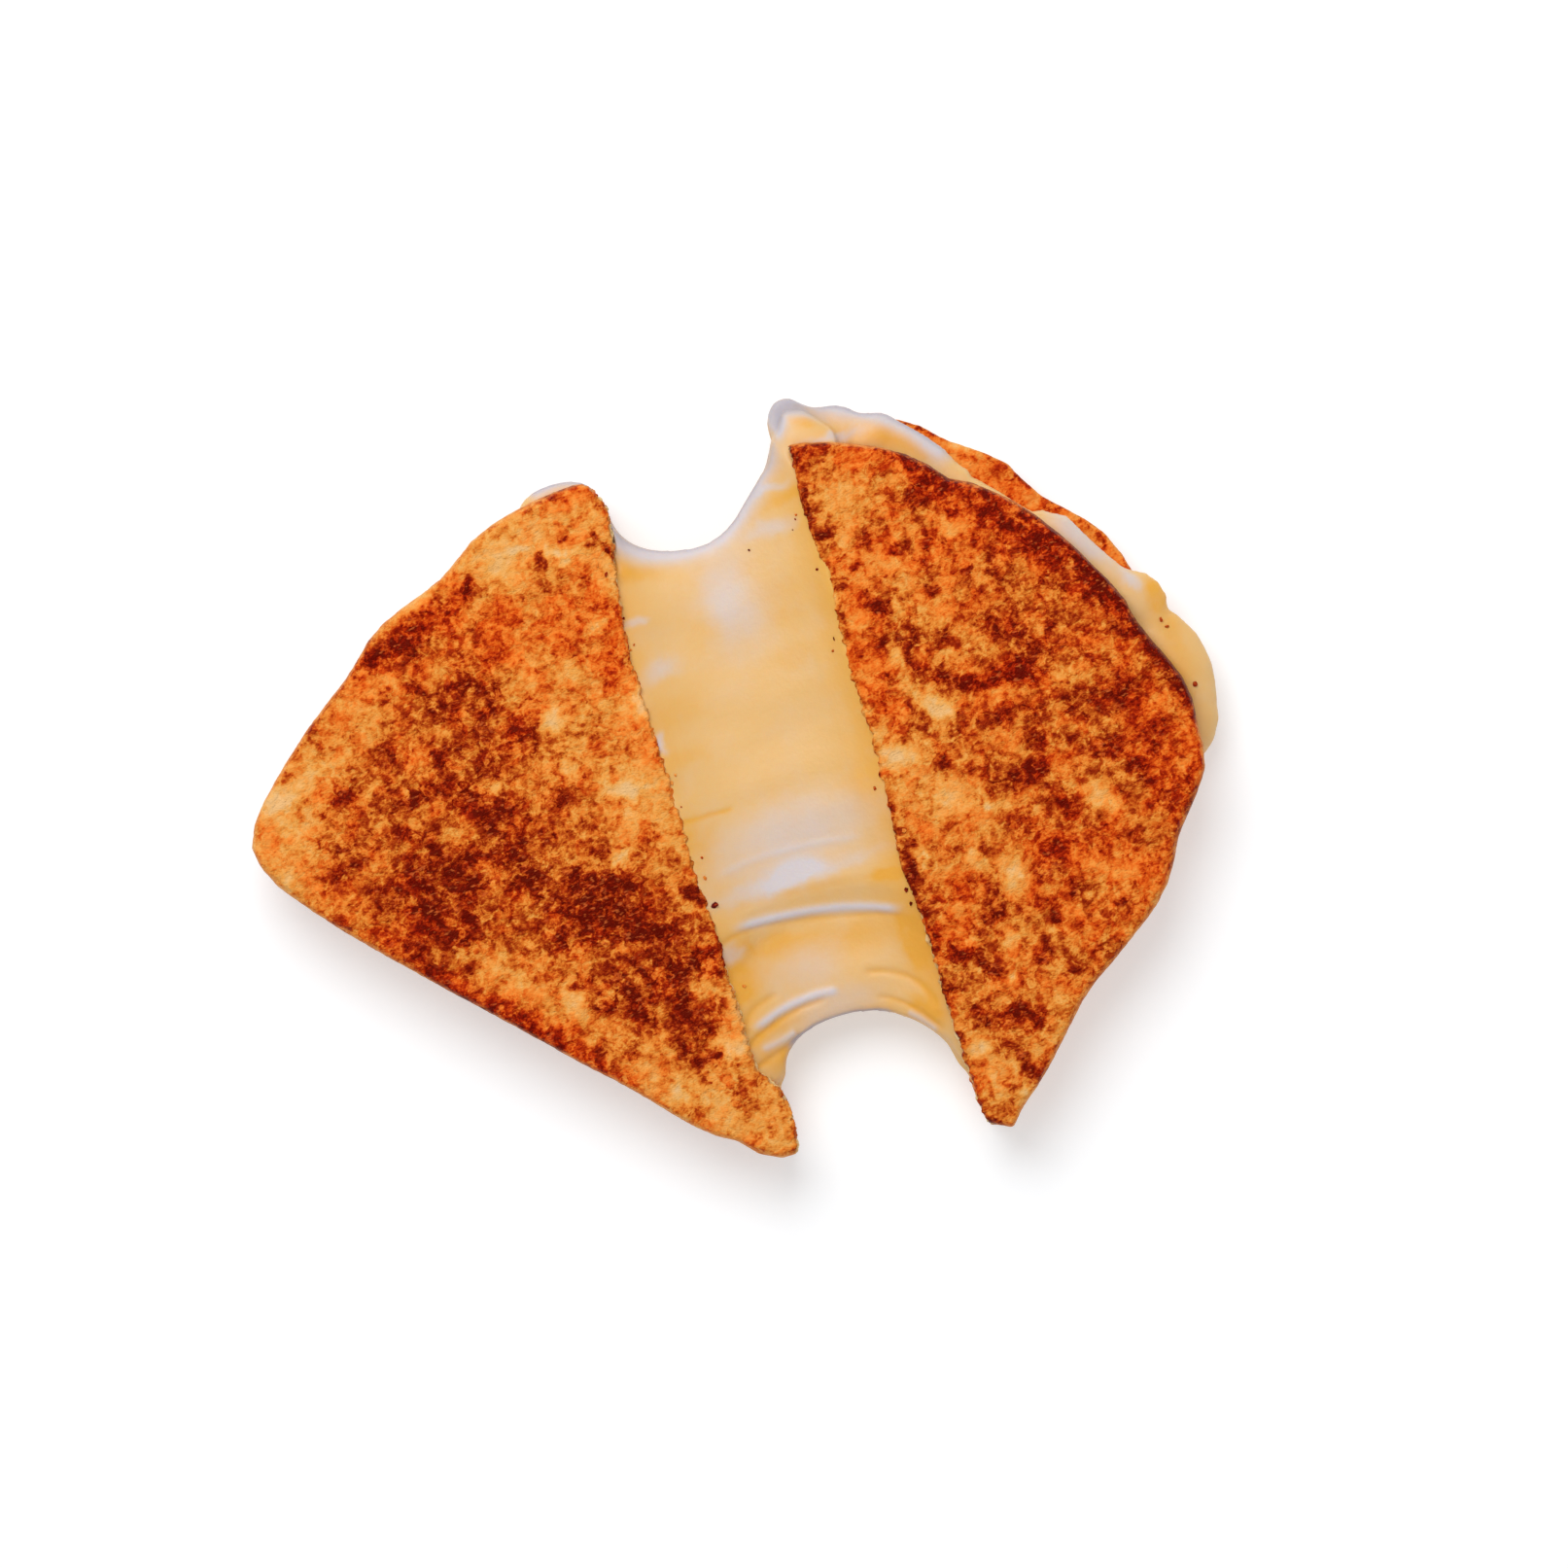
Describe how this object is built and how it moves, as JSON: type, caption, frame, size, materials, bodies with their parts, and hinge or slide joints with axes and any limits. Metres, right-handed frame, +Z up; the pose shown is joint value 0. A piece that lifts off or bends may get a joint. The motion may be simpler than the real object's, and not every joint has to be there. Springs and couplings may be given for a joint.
{
  "type": "grilled cheese sandwich",
  "caption": "Toasted cheese sandwich cut in two and pulled apart, with a sheet of melted cheese stretched between the halves.",
  "frame": {"origin": "on the table under the middle of the sandwich's bounding box", "axes": "+X along the pull, from the left half to the right half, +Y along the cut, +Z up"},
  "size_m": [0.2101, 0.1656, 0.027],
  "materials": {
    "toast_left": "golden toasted bread with scorched patches",
    "toast_right": "golden-brown toasted bread with scorched patches",
    "toast_under": "toasted bread",
    "melted_cheese": "melted, softly glossy"
  },
  "bodies": {
    "root": {"toast_upper_left": "toast_left", "toast_upper_right": "toast_right", "toast_lower_left": "toast_under", "toast_lower_right": "toast_under", "cheese": "melted_cheese"}
  },
  "joints": []
}
